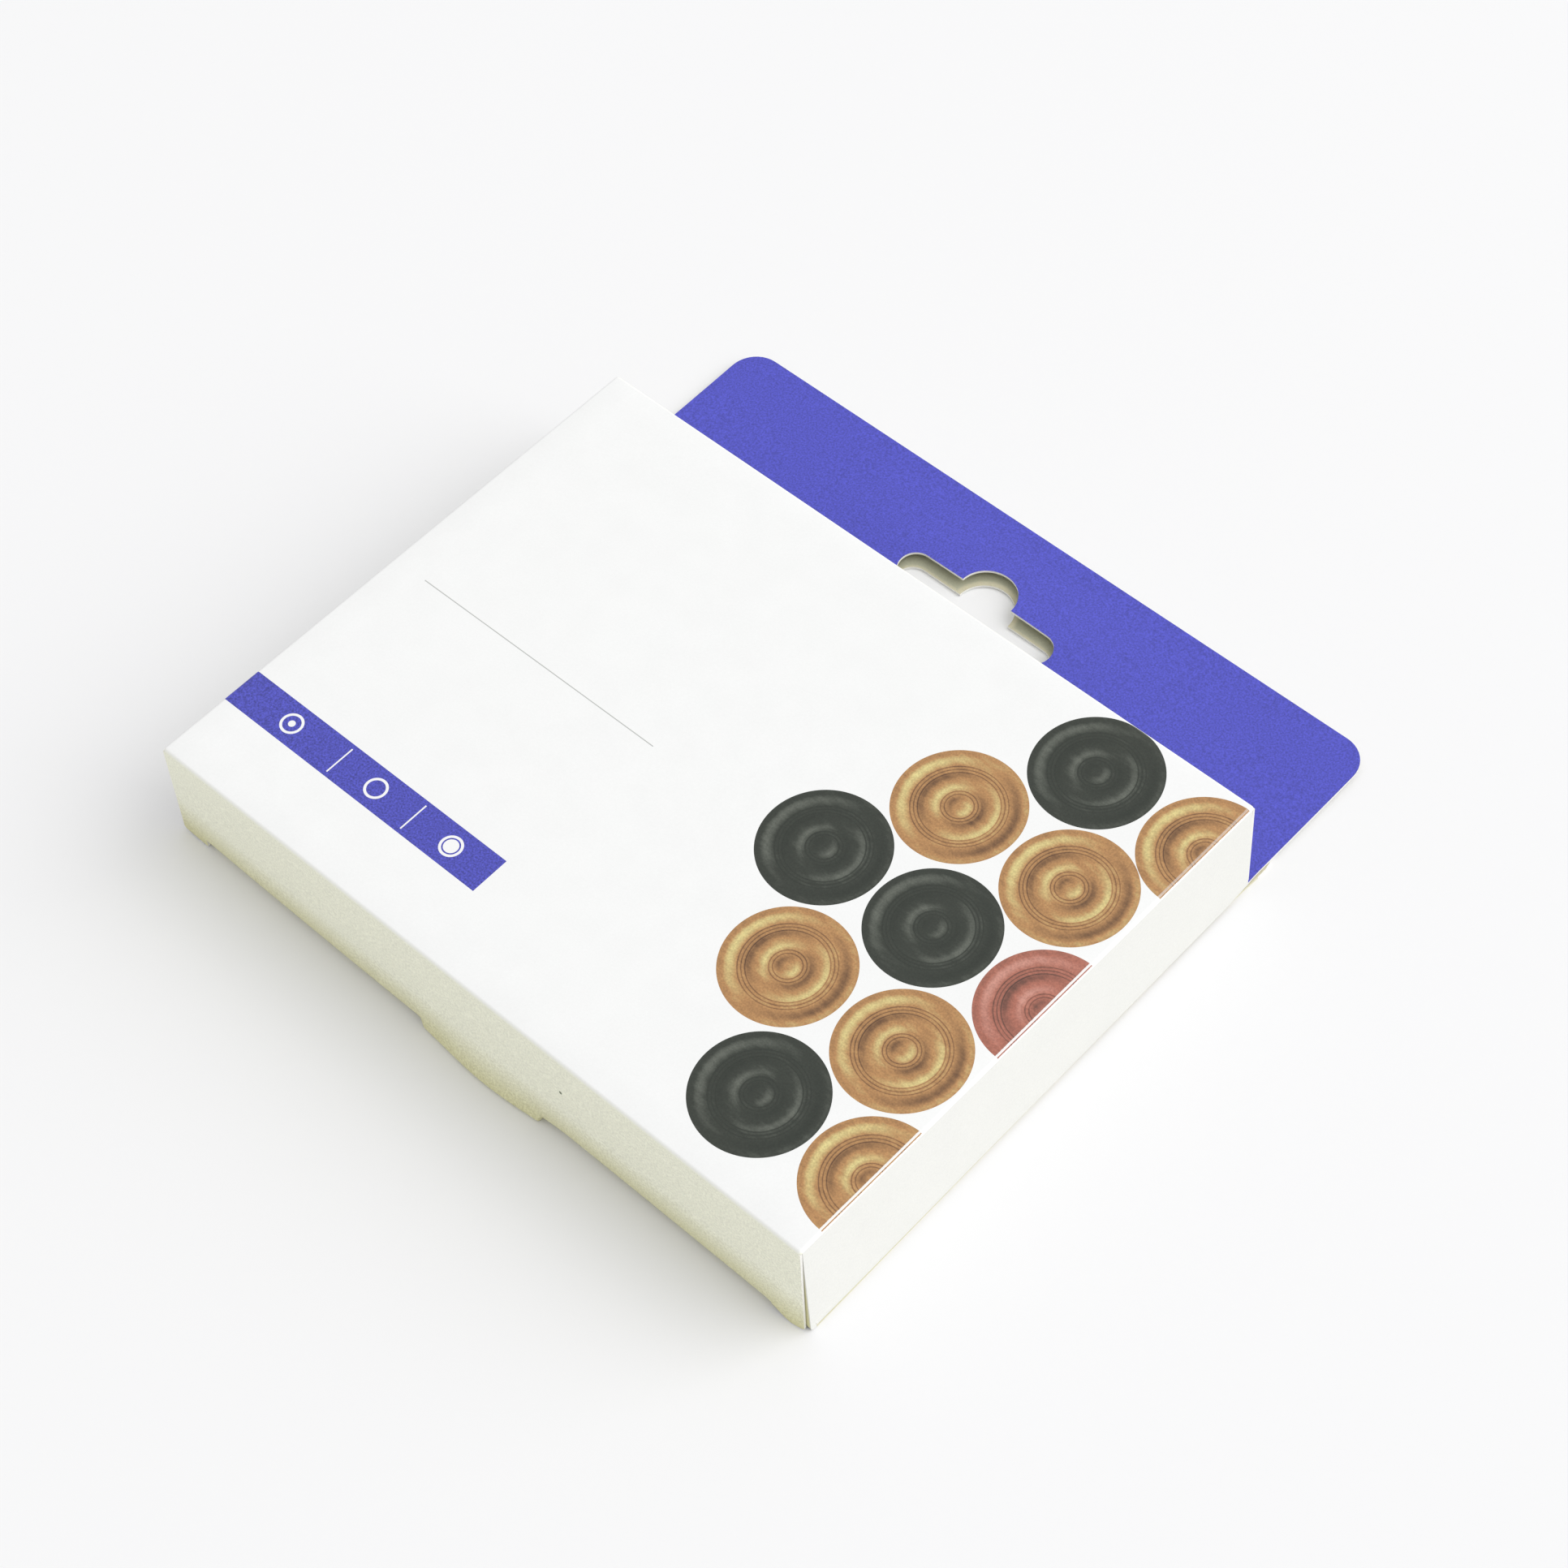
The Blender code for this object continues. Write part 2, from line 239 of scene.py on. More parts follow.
def front_print(tree, spot, colour, fibre):
    """The rule, the band with its icons, and the discs, worn off along the right fold."""
    def calc(operation, *values):
        return wire(tree, "Math", *values, operation=operation)

    def over(mask, top, base):
        return wire(tree, "MixRGB", mask, base, top)

    x, y, z = wire(tree, "SeparateXYZ", spot).node.outputs
    # the print runs on over the folds, so it is measured round them
    rolled = calc("MAXIMUM", calc("SUBTRACT", FRONT_TOP, z), 0.0)
    u = calc("MULTIPLY_ADD", calc("SIGN", x), rolled, x)
    flat = wire(tree, "CombineXYZ", u, y, 0.0)

    def box(left, low, right, high):
        across = calc("COMPARE", u, (left + right) / 2, (right - left) / 2)
        return calc("MULTIPLY", across, calc("COMPARE", y, (low + high) / 2, (high - low) / 2))

    rule = box(RULE_LEFT, RULE_LEVEL - RULE_LINE, RULE_RIGHT, RULE_LEVEL + RULE_LINE)
    colour = over(rule, RULE_GREY, colour)
    blue = mottled(tree, BAND_BLUE, fibre, *BAND_MOTTLE)
    white = colour
    band = box(-2 * HALF_WIDTH, BAND_LOW, BAND_END, BAND_HIGH)
    colour = over(band, blue, colour)
    band_level = (BAND_LOW + BAND_HIGH) / 2
    for at in CELL_RULES:
        line = box(at - CELL_LINE, band_level - CELL_RULE_HALF, at + CELL_LINE, band_level + CELL_RULE_HALF)
        colour = over(line, white, colour)
    for at, share in zip(CELL_MIDDLES, ICON_DOT_SHARES):
        away = wire(tree, "VectorMath", flat, (at, band_level, 0), operation="DISTANCE")
        ring = calc("COMPARE", away, ICON_RADIUS, ICON_LINE)
        icon = calc("MAXIMUM", ring, calc("LESS_THAN", away, share * ICON_RADIUS))
        colour = over(icon, white, colour)

    place = (0, 0, 0)
    masks = dict.fromkeys(DISC_INKS, 0.0)
    for kind, left, level in DISCS:
        local = wire(tree, "VectorMath", flat, (left, level, 0), operation="SUBTRACT")
        inside = calc("LESS_THAN", wire(tree, "VectorMath", local, operation="LENGTH"), DISC_RADIUS)
        place = wire(tree, "VectorMath", local, inside, place, operation="MULTIPLY_ADD")
        masks[kind] = calc("ADD", masks[kind], inside)
    away = calc("MAXIMUM", wire(tree, "VectorMath", place, operation="LENGTH"), HAIRLINE)
    reach = calc("DIVIDE", away, DISC_RADIUS)
    facing = calc("DIVIDE", wire(tree, "SeparateXYZ", place).node.outputs["X"], away)
    slope = calc("SUBTRACT", ramp(tree, reach, [(at, grey(value)) for at, value in DISC_SLOPES]), 0.5)
    shade = calc("MULTIPLY_ADD", calc("MULTIPLY", slope, facing), 2 * DISC_LIGHT, 0.5)
    lines = calc("SINE", calc("MULTIPLY_ADD", reach, math.tau / DISC_LINE_PITCH, DISC_LINE_SHIFT))
    lined = ramp(tree, reach, [(at, grey(value)) for at, value in DISC_LINED])
    lines = calc("MULTIPLY", calc("MAXIMUM", lines, 0.0), lined)
    shade = calc("MULTIPLY_ADD", lines, -DISC_LINE_DEPTH, shade)
    turn, stretch = (0, 0, DISC_GRAIN_TURN), (1, DISC_GRAIN_STRETCH, 1)
    along = wire(tree, "Mapping", Vector=spot, Rotation=turn, Scale=stretch)
    grain = wire(tree, "TexNoise", Vector=along, Scale=DISC_GRAIN_SCALE, Detail=5, Roughness=0.65)
    shade = calc("ADD", shade, calc("MULTIPLY_ADD", grain, DISC_GRAIN_DEPTH, -DISC_GRAIN_DEPTH / 2))
    for kind, inks in DISC_INKS.items():
        tone = ramp(tree, shade, list(zip((0.0, 0.5, 1.0), inks)))
        colour = over(masks[kind], mottled(tree, tone, fibre, *DISC_MOTTLE), colour)
    # along the right fold the print has worn off, most at the lower end, but for its very edge
    past_fold = calc("SUBTRACT", calc("MULTIPLY_ADD", fibre, WORN_RAGGED, u), HALF_WIDTH)
    worn = calc("COMPARE", past_fold, (WORN_FROM + WORN_TO) / 2, (WORN_TO - WORN_FROM) / 2)
    strength = wire(tree, "MapRange", y, WORN_FULL, WORN_FAINT, WORN_MOST, WORN_LEAST)
    worn = calc("MULTIPLY", worn, strength)
    bare = calc("MAXIMUM", worn, calc("GREATER_THAN", past_fold, PRINT_END))
    colour = over(bare, white, colour)
    # where the front rolls over its ends it takes the flaps' shade-tinted cream
    over_end = calc("GREATER_THAN", calc("ABSOLUTE", y), HALF_HEIGHT - FOLD_ROUND)
    turned = calc("MULTIPLY", over_end, wire(tree, "MapRange", rolled, 0.0, FOLD_ROUND, 0.0, 1.0))
    return over(turned, FLAP_SHADE_CREAM, colour)


COATED_WHITE = (0.882, 0.886, 0.890, 1)
# the tuck flaps are the same white board as the front; their colour is a brighter, yellower copy, painted
# light with the yellow cast of shade
FLAP_SHADE_CREAM = (0.933, 0.936, 0.775, 1)
CUT_WHITE = (0.86, 0.85, 0.81, 1)
RAW_GREY = (0.64, 0.62, 0.52, 1)
cut_board = board_finish("cut_board", CUT_WHITE, fleck=0.92)
raw_board = board_finish("raw_board", RAW_GREY, fleck=0.86)
printed_front = board_finish("printed_front", COATED_WHITE, fleck=0.975, paint=front_print)

skirt = crease_level + HAIRLINE
front = begin(
    "front_board", bpy.ops.mesh.primitive_cube_add, size=1, location=(0, 0, (FRONT_TOP + skirt) / 2),
    scale=(2 * HALF_WIDTH, 2 * HALF_HEIGHT, FRONT_TOP - skirt),
)
pick(front, "faces", lambda face: face.normal.z < -0.5)
bpy.ops.mesh.delete(type="FACE")
pick(front, "edges", lambda edge: middle(edge).z > skirt + HAIRLINE)
bpy.ops.mesh.bevel(offset=FOLD_ROUND, segments=ROUND_STEPS, affect="EDGES")
cut_across(Vector((1, 0, 0)), between(-HALF_WIDTH, HALF_WIDTH, FRONT_COLUMNS))
cut_across(Vector((0, 1, 0)), between(-HALF_HEIGHT, HALF_HEIGHT, FRONT_ROWS))
thicken(front, printed_front)
for vert in front.data.vertices:
    across, along = vert.co.x / HALF_WIDTH, vert.co.y / HALF_HEIGHT
    vert.co.z += FRONT_CROWN * (1 - across**2) * (1 - along**2)
bpy.ops.object.shade_smooth_by_angle(angle=SMOOTH_ANGLE)
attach(front, "carton")
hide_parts("front_panel")


# Side boards. Each stands on the back ply that it folds up from, and rolls over into the front.
# They are the same coated board, unprinted, and bow out a little over the coins. The carton has
# been knocked, so the right side's foot stands out, most at its lower end, whose end face has painted
# shade.

# the sides are the same white board as the front; this darker, creamier copy of its colour is painted shade
SHADE_TONED_CREAM = (0.80, 0.80, 0.768, 1)
SIDE_COLUMNS, SIDE_ROWS = 48, 6
SIDE_BOW = 0.00015
SIDE_LEAN, LEAN_REACH = 0.00083, 0.012
# painted shade on the right side's open end: where it starts and where it is full in from the outer face,
# and its olive colour
END_SHADE_FROM, END_SHADE_FULL = 0.0001, 0.0004
END_SHADE_OLIVE = (0.64, 0.61, 0.32, 1)
SPLAY_LOW, SPLAY_HIGH = 0.00125, 0.0003
SIDE_CORNER = 0.0007
END_GAP, FLOOR_GAP = 0.00005, 0.0001
side_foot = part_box("back_panel")[1].z + HAIRLINE
side_half = HALF_HEIGHT - BOARD - END_GAP
ply_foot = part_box("back_panel")[0].y


def painted_end_shade(tree, spot, colour, fibre):
    """The end that stands open is dark in from its outer edge: painted shade of the crease that rolls in to
    the dust flap.
    """
    place = wire(tree, "SeparateXYZ", spot).node.outputs
    low_down = wire(tree, "MapRange", place["Z"], side_foot, crease_level, 1.0, 0.0)
    outer_face = wire(tree, "Math", low_down, SPLAY_LOW, HALF_WIDTH, operation="MULTIPLY_ADD")
    depth = wire(tree, "Math", outer_face, place["X"], operation="SUBTRACT")
    painted_shade = wire(tree, "MapRange", depth, END_SHADE_FROM, END_SHADE_FULL, 0.0, 1.0)
    return wire(tree, "MixRGB", painted_shade, colour, END_SHADE_OLIVE)


shade_toned_board = board_finish("shade_toned_board", SHADE_TONED_CREAM, fleck=0.95)
end_shade_board = board_finish("end_shade_board", SHADE_TONED_CREAM, fleck=0.95, paint=painted_end_shade)


def splay(y):
    """How far the right side's foot stands out, from the knocked corner to the header."""
    return SPLAY_LOW + (SPLAY_HIGH - SPLAY_LOW) * (y + HALF_HEIGHT) / (2 * HALF_HEIGHT)


def upright(name, out, length, low, high, columns, rows, turn):
    """An upright sheet that faces outwards, this far out from the carton's middle."""
    facing = Matrix.Rotation(turn, 3, "Z") @ Vector((0, -out, (low + high) / 2))
    return begin(
        name, bpy.ops.mesh.primitive_grid_add, x_subdivisions=columns, y_subdivisions=rows, size=1,
        location=facing, rotation=(math.pi / 2, 0, turn), scale=(length, high - low, 1),
    )


for side, carrier in (("left", "rear_panel"), ("right", "back_panel")):
    node = f"{side}_side_panel"
    low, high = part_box(node)
    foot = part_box(carrier)[1].z + HAIRLINE
    turn = math.copysign(math.pi / 2, high.x)
    board = upright(
        f"{side}_side_board", HALF_WIDTH, 2 * side_half, foot, high.z, SIDE_COLUMNS, SIDE_ROWS, turn
    )
    if side == "right":
        pick(board, "verts", lambda vert: vert.co.y + vert.co.z < foot - side_half + HAIRLINE)
        bpy.ops.mesh.bevel(offset=SIDE_CORNER, segments=ROUND_STEPS, affect="VERTICES")
    thicken(board, shade_toned_board)
    for vert in board.data.vertices:
        height = (vert.co.z - foot) / (high.z - foot)
        swell = math.sin(math.pi * height) * math.cos(math.pi / 2 * vert.co.y / side_half)
        vert.co.x += math.copysign(SIDE_BOW * max(swell, 0), vert.co.x)
        if side == "right":
            inner = vert.co.x < HALF_WIDTH - BOARD / 2
            vert.co.x += splay(vert.co.y) * (1 - height)
            if inner and vert.co.y < -side_half + HAIRLINE:
                # the end's inner edge stays in line with the fold, so the end shows as a wedge
                vert.co.x = min(vert.co.x, HALF_WIDTH + HAIRLINE)
            near_end = 1 + (-side_half - vert.co.y) / LEAN_REACH
            vert.co.y -= SIDE_LEAN * (1 - height) * max(near_end, 0)
    bpy.ops.object.mode_set(mode="EDIT")
    cut_across(Vector((0, 1, 0)), (ply_foot - HAIRLINE, ply_foot + HAIRLINE))
    bpy.ops.object.mode_set(mode="OBJECT")
    for vert in board.data.vertices:
        if vert.co.y < ply_foot:
            # past the ends of the plies the side reaches the floor
            height = (vert.co.z - foot) / (high.z - foot)
            vert.co.z -= (foot - FLOOR_GAP) * (1 - height)
    if side == "right":
        # the open end face takes the painted shade of the crease that rolls in to the dust flap
        board.data.materials.append(end_shade_board)
        for face in board.data.polygons:
            if face.normal.y < -0.5:
                face.material_index = len(board.data.materials) - 1
    bpy.ops.object.shade_smooth_by_angle(angle=SMOOTH_ANGLE)
    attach(board, "carton")
    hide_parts(node)


# Back and hang header. Two plies of board are glued face to face, run on past the carton as its
# header, and are cut through together: the peg slot in the header and the thumb notch at the foot.
# Round the slot the plies have slipped and come apart, and painted shadow darkens the rear ply's inner face
# between them.

BLUE, BLUE_MOTTLE = ink(75, 77, 187), (0.76, 1.29)
HEADER_CORNER, CORNER_STEPS = 0.005, 10
HEADER_COLUMNS, HEADER_ROWS = 26, 16
SLOT_MIDDLE, SLOT_WIDTH, SLOT_HEIGHT = 0.0612, 0.031, 0.006
HUMP_LEVEL, HUMP_RADIUS = 0.0642, 0.005
REAR_SLIP = Vector((0.0007, -0.0016, 0))
NOTCH_WIDTH, NOTCH_DEPTH = 0.030, 0.0072
NOTCH_RADIUS = (NOTCH_WIDTH**2 / 4 + NOTCH_DEPTH**2) / (2 * NOTCH_DEPTH)
NOTCH_MIDDLE = ply_foot + NOTCH_DEPTH - NOTCH_RADIUS
HEADER_LIFT = 0.0004
PARTED, PARTED_HALF = 0.0013, 0.052
CUT_DEPTH, CUTTER_SIDES = 0.01, 96
PRINT_START = 0.0484
SPLAY_FADE = 0.006
REAR_OUT, REAR_OUT_LOW, REAR_OUT_HIGH, REAR_OUT_FADE = 0.0007, 0.0440, 0.0560, 0.003
RAW_BEIGE = (0.64, 0.60, 0.43, 1)
# the plies' raw cut edges: the raw board's beige, made darker than its own colour as painted shade
SHADED_EDGE_BEIGE = (0.70, 0.67, 0.48, 1)
# painted shadow of the front ply on the rear ply's inner face: its colour, the margin left at the slot's
# edge, how soft its edge is and how far it reaches
SLOT_SHADOW_OLIVE = (0.46, 0.46, 0.34, 1)
SLOT_SHADOW_MARGIN, SLOT_SHADOW_FADE, SLOT_SHADOW_REACH = 0.00035, 0.00025, 0.004
HUMP_MARGIN = 0.0005


def header_print(tree, spot, colour, fibre):
    """Solid blue, from just short of the carton's upper end."""
    y = wire(tree, "SeparateXYZ", spot).node.outputs["Y"]
    printed = wire(tree, "Math", y, PRINT_START, operation="GREATER_THAN")
    return wire(tree, "MixRGB", printed, colour, mottled(tree, BLUE, fibre, *BLUE_MOTTLE))


def painted_slot_shadow(tree, spot, colour, fibre):
    """Painted shadow of the front ply darkens the rear ply's inner face round its slot, but for a margin.
    """
    bar_half = Vector(((SLOT_WIDTH - SLOT_HEIGHT) / 2, 0, CUT_DEPTH))
    bar, hump = REAR_SLIP + Vector((0, SLOT_MIDDLE, 0)), REAR_SLIP + Vector((0, HUMP_LEVEL, 0))
    nearest = wire(tree, "VectorMath", spot, bar - bar_half, operation="MAXIMUM")
    nearest = wire(tree, "VectorMath", nearest, bar + bar_half, operation="MINIMUM")
    from_bar = wire(tree, "VectorMath", spot, nearest, operation="DISTANCE")
    from_bar = wire(tree, "Math", from_bar, SLOT_HEIGHT / 2, operation="SUBTRACT")
    from_hump = wire(tree, "VectorMath", spot, hump, operation="DISTANCE")
    from_hump = wire(tree, "Math", from_hump, HUMP_RADIUS + HUMP_MARGIN, operation="SUBTRACT")
    away = wire(tree, "Math", from_bar, from_hump, operation="MINIMUM")
    ragged = wire(tree, "Math", fibre, 4 * SLOT_SHADOW_FADE, away, operation="MULTIPLY_ADD")
    start = SLOT_SHADOW_MARGIN + 2 * SLOT_SHADOW_FADE
    slot_shadow = wire(tree, "MapRange", ragged, start - SLOT_SHADOW_FADE, start + SLOT_SHADOW_FADE, 0.0, 1.0)
    near = wire(tree, "Math", away, SLOT_SHADOW_REACH, operation="LESS_THAN")
    slot_shadow = wire(tree, "Math", slot_shadow, near, operation="MULTIPLY")
    return wire(tree, "MixRGB", slot_shadow, colour, SLOT_SHADOW_OLIVE)


def ease(value):
    """Runs smoothly from 0 to 1, and stays there past both ends."""
    value = min(max(value, 0.0), 1.0)
    return value * value * (3 - 2 * value)


def cut_through(piece, cutter):
    """Cuts the piece with another solid, which is then thrown away."""
    hole = piece.modifiers.new("hole", "BOOLEAN")
    hole.operation, hole.solver, hole.object = "DIFFERENCE", "EXACT", cutter
    bpy.context.view_layer.objects.active = piece
    bpy.ops.object.modifier_apply(modifier=hole.name)
    bpy.data.objects.remove(cutter)


def peg_slot(slip):
    """The slot's wide bar, with its ends rounded right over."""
    bar = begin(
        "slot_bar", bpy.ops.mesh.primitive_cube_add, size=1, location=slip + Vector((0, SLOT_MIDDLE, 0)),
        scale=(SLOT_WIDTH, SLOT_HEIGHT, CUT_DEPTH),
    )
    pick(bar, "edges", lambda edge: abs(edge.verts[0].co.z - edge.verts[1].co.z) > BOARD)
    bpy.ops.mesh.bevel(offset=SLOT_HEIGHT / 2 - HAIRLINE, segments=CORNER_STEPS, affect="EDGES")
    bpy.ops.object.mode_set(mode="OBJECT")
    return bar


def round_cutter(radius, centre):
    """A drum, for the slot's hump and the thumb notch."""
    drum = begin(
        "round_cutter", bpy.ops.mesh.primitive_cylinder_add, vertices=CUTTER_SIDES, radius=radius,
        depth=CUT_DEPTH, location=centre,
    )
    bpy.ops.object.mode_set(mode="OBJECT")
    return drum


blue_header = board_finish("blue_header", COATED_WHITE, fleck=0.975, paint=header_print)
raw_edge_shaded = board_finish("raw_edge_shaded", SHADED_EDGE_BEIGE, fleck=0.90)
slot_shadow_face = board_finish("slot_shadow_face", RAW_BEIGE, fleck=0.90, paint=painted_slot_shadow)
for name, node, printed_side in (("back_ply", "back_panel", 1), ("rear_ply", "rear_panel", -1)):
    low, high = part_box(node)
    ply = begin(
        name, bpy.ops.mesh.primitive_cube_add, size=1, location=(low + high) / 2, scale=high - low,
    )
    pick(ply, "edges", lambda edge: edge.verts[0].co.y > HALF_HEIGHT and edge.verts[1].co.y > HALF_HEIGHT
         and abs(edge.verts[0].co.z - edge.verts[1].co.z) > BOARD / 2)
    bpy.ops.mesh.bevel(offset=HEADER_CORNER, segments=CORNER_STEPS, affect="EDGES")
    bpy.ops.object.mode_set(mode="OBJECT")
    slip = Vector() if printed_side > 0 else REAR_SLIP
    cut_through(ply, peg_slot(slip))
    cut_through(ply, round_cutter(HUMP_RADIUS, slip + Vector((0, HUMP_LEVEL, 0))))
    cut_through(ply, round_cutter(NOTCH_RADIUS, (0, NOTCH_MIDDLE, 0)))
    bpy.ops.object.select_all(action="DESELECT")
    ply.select_set(True)
    bpy.ops.object.mode_set(mode="EDIT")
    header_rows = between(HALF_HEIGHT, high.y, HEADER_ROWS)
    cut_across(Vector((0, 1, 0)), [HALF_HEIGHT - SPLAY_FADE] + header_rows)
    cut_across(Vector((1, 0, 0)), between(low.x, high.x, HEADER_COLUMNS))
    bpy.ops.object.mode_set(mode="OBJECT")
    faces = (blue_header, raw_board) if printed_side > 0 else (shade_toned_board, slot_shadow_face)
    for finish in faces + (cut_board, raw_edge_shaded, shade_toned_board):
        ply.data.materials.append(finish)
    for face in ply.data.polygons:
        outwards = face.normal.z * printed_side
        if abs(outwards) > 0.5:
            face.material_index = 0 if outwards > 0 else 1
        elif face.center.y > HALF_HEIGHT:
            face.material_index = 2
        else:
            # each ply is folded along the side that it carries, and cut elsewhere
            face.material_index = 4 if face.normal.x * printed_side > 0.5 else 3
    for vert in ply.data.vertices:
        if vert.co.x > high.x - HAIRLINE:
            vert.co.x += splay(vert.co.y) * ease((HALF_HEIGHT - vert.co.y) / SPLAY_FADE)
            if printed_side < 0:
                # the rear ply shows along the right side's foot, and again where the header begins
                into_stretch = min(vert.co.y - REAR_OUT_LOW, REAR_OUT_HIGH - vert.co.y)
                vert.co.x += REAR_OUT * ease(into_stretch / REAR_OUT_FADE)
                if vert.co.y < ply_foot + HAIRLINE:
                    vert.co.x += HALF_WIDTH - high.x
        reach = max(vert.co.y - HALF_HEIGHT, 0) / (high.y - HALF_HEIGHT)
        vert.co.z += HEADER_LIFT * reach**2
        if printed_side > 0:
            across = math.cos(math.pi / 2 * min(abs(vert.co.x) / PARTED_HALF, 1))
            vert.co.z += PARTED * (across * math.sin(math.pi * reach)) ** 2
    bpy.ops.object.shade_smooth_by_angle(angle=SMOOTH_ANGLE)
    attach(ply, "carton")
    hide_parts(node)


# Tuck flaps. Each end is shut by a board that folds down from the front and ends in a lip, which
# turns in round a soft fold and slides between the back and the coins.

lip_low, lip_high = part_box("bottom_lip")
LIP_HALF = lip_high.x
TUCK_ROUND, TUCK_STEPS = 0.000825, 8
LIP_CORNER = 0.009
SHOULDER_ROUND = 0.0003
TUCK_COLUMNS, TUCK_ROWS, LIP_ROWS = 260, 18, 10
TUCK_BOW = 0.0003
# painted shade where the flap turns into its fold: its olive colour, where it runs, how ragged and how
# strong
FOLD_SHADE_OLIVE = (0.67, 0.64, 0.33, 1)
FOLD_SHADE_FROM, FOLD_SHADE_TO, LIP_SHADE_REACH = 0.0008, 0.0085, 0.004
FOLD_SHADE_RAGGED, FOLD_SHADE_MOST = 0.004, 0.85
FLAP_MOTTLE = (0.985, 1.053)
SPECK_PLACE, SPECK_SIZE, SPECK_DARK = (0.0189, -0.0496, 0.0131), 0.0003, (0.15, 0.18, 0.10, 1)
fold_level = lip_low.z + TUCK_ROUND
fold_line = -HALF_HEIGHT + TUCK_ROUND


def fold_shade_and_speck(tree, spot, colour, fibre):
    """Painted olive shade darkens the board towards the fold of the lip, and a little way along the lip."""
    place = wire(tree, "SeparateXYZ", spot).node.outputs
    ragged = wire(tree, "Math", fibre, FOLD_SHADE_RAGGED, place["Z"], operation="MULTIPLY_ADD")
    low, high = FOLD_SHADE_FROM + FOLD_SHADE_RAGGED / 2, FOLD_SHADE_TO + FOLD_SHADE_RAGGED / 2
    painted_shade = wire(tree, "MapRange", ragged, low, high, FOLD_SHADE_MOST, 0.0)
    from_middle = wire(tree, "Math", place["Y"], operation="ABSOLUTE")
    near_fold = wire(tree, "MapRange", from_middle, HALF_HEIGHT - LIP_SHADE_REACH, -fold_line, 0.0, 1.0)
    painted_shade = wire(tree, "Math", painted_shade, near_fold, operation="MULTIPLY")
    colour = wire(tree, "MixRGB", painted_shade, colour, FOLD_SHADE_OLIVE)
    colour = mottled(tree, colour, fibre, *FLAP_MOTTLE)
    # a speck of dirt on the lower flap
    away = wire(tree, "VectorMath", spot, SPECK_PLACE, operation="DISTANCE")
    speck = wire(tree, "Math", away, SPECK_SIZE, operation="LESS_THAN")
    return wire(tree, "MixRGB", speck, colour, SPECK_DARK)


shaded_flap_board = board_finish("shaded_flap_board", FLAP_SHADE_CREAM, fleck=0.84, paint=fold_shade_and_speck)


def tuck_flap(name, shape, shoulders):
    """A tuck flap at the lower end, from its crease to the tip of its lip, moved by a shape.

    Its corners aren't creased with the lip, and hang straight down to a level on each side.
    """
    flap = upright(
        name, HALF_HEIGHT, 2 * HALF_WIDTH, fold_level, crease_level, TUCK_COLUMNS, TUCK_ROWS, 0
    )
    pick(flap, "edges", lambda edge: middle(edge).z < fold_level + HAIRLINE
         and abs(middle(edge).x) < LIP_HALF)
    fold_middle = (0, fold_line, fold_level)
    bpy.ops.mesh.spin(steps=TUCK_STEPS, angle=-math.pi / 2, center=fold_middle, axis=(1, 0, 0))
    bpy.ops.mesh.extrude_region_move(
        TRANSFORM_OT_translate={"value": (0, lip_high.y - LIP_CORNER - fold_line, 0)}
    )
    tips = [LIP_CORNER * math.sin(math.pi / 2 * i / LIP_ROWS) for i in range(LIP_ROWS + 1)]
    for near, far in zip(tips, tips[1:]):
        bpy.ops.mesh.extrude_region_move(TRANSFORM_OT_translate={"value": (0, far - near, 0)})
    pick(flap, "edges", lambda edge: abs(middle(edge).z - fold_level) < HAIRLINE
         and abs(middle(edge).x) > LIP_HALF and abs(middle(edge).y + HALF_HEIGHT) < HAIRLINE)
    bpy.ops.mesh.extrude_region_move(
        TRANSFORM_OT_translate={"value": (0, 0, lip_low.z - fold_level)}
    )
    bpy.ops.mesh.select_all(action="SELECT")
    bpy.ops.mesh.remove_doubles(threshold=HAIRLINE)
    bpy.ops.mesh.normals_make_consistent(inside=False)
    bpy.ops.object.mode_set(mode="OBJECT")
    for vert in flap.data.vertices:
        into_corner = vert.co.y - (lip_high.y - LIP_CORNER)
        if into_corner > 0:
            drawn_in = LIP_CORNER - math.sqrt(max(LIP_CORNER**2 - into_corner**2, 0))
            vert.co.x *= (LIP_HALF - drawn_in) / LIP_HALF
        if vert.co.z < lip_low.z + HAIRLINE and vert.co.y < -HALF_HEIGHT + HAIRLINE:
            into_corner = max(abs(vert.co.x) - HALF_WIDTH + SHOULDER_ROUND, 0)
            rise = SHOULDER_ROUND - math.sqrt(max(SHOULDER_ROUND**2 - into_corner**2, 0))
            vert.co.z = shoulders[vert.co.x > 0] + rise
        vert.co += shape(vert.co)
    thicken(flap, shaded_flap_board)
    bpy.ops.object.shade_smooth_by_angle(angle=SMOOTH_ANGLE)
    return flap


def hold_flap(flap, end):
    """Fixes the flap where it was built and hides the solids of its closure and lip."""
    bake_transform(flap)
    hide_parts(f"{end}_closure", f"{end}_lip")


# The lower flap has been pressed out by a thumb: its fold bulges, swells through the notch with a
# step at each of the notch's corners, and its right end is held but for a corner sagging to the floor.
BULGE, LEFT_HELD, RIGHT_LEAN = 0.0009, 0.0007, 0.00032
CORNER_HELD, HELD_START, HELD_FULL = 0.3, 0.0625, 0.0652
FLARE, FLARE_START = 0.0004, 0.060
THUMB_OUT, THUMB_MIDDLE, THUMB_HALF, THUMB_FADE = 0.0010, 0.003, 0.017, 0.009
THUMB_DROP, STEP_OUT, STEP_FADE = 0.00105, 0.0005, 0.0025
STEP_START, STEP_FULL = -0.0117, -0.0103
CATCH, CATCH_ROUND, NOTCH_ROUND = 0.0136, 0.0004, 0.001
END_SAG, SAG_START, SAG_FULL, SAG_REACH = 0.0015, 0.0582, 0.063, 0.001
